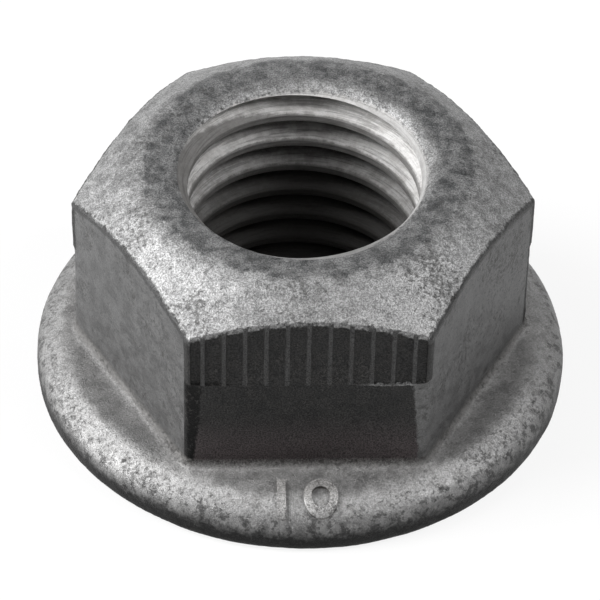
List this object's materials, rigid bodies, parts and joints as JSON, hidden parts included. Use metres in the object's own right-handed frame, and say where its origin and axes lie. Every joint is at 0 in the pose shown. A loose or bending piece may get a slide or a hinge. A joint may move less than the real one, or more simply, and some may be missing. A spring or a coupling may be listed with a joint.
{
  "type": "serrated flange nut",
  "caption": "Hexagon nut with a round sloping flange, a serrated bearing face, ribbed press marks on alternate flats and a coarse right-hand thread.",
  "frame": {"origin": "centre of the bearing face, on the thread axis", "axes": "+Z along the thread axis from the bearing face to the crown, one ribbed flat faces -Y"},
  "size_m": [0.0324, 0.0324, 0.0157],
  "materials": {
    "coated_steel": "dull mottled zinc flake coating"
  },
  "bodies": {
    "root": {"flange_nut": "coated_steel"}
  },
  "joints": []
}
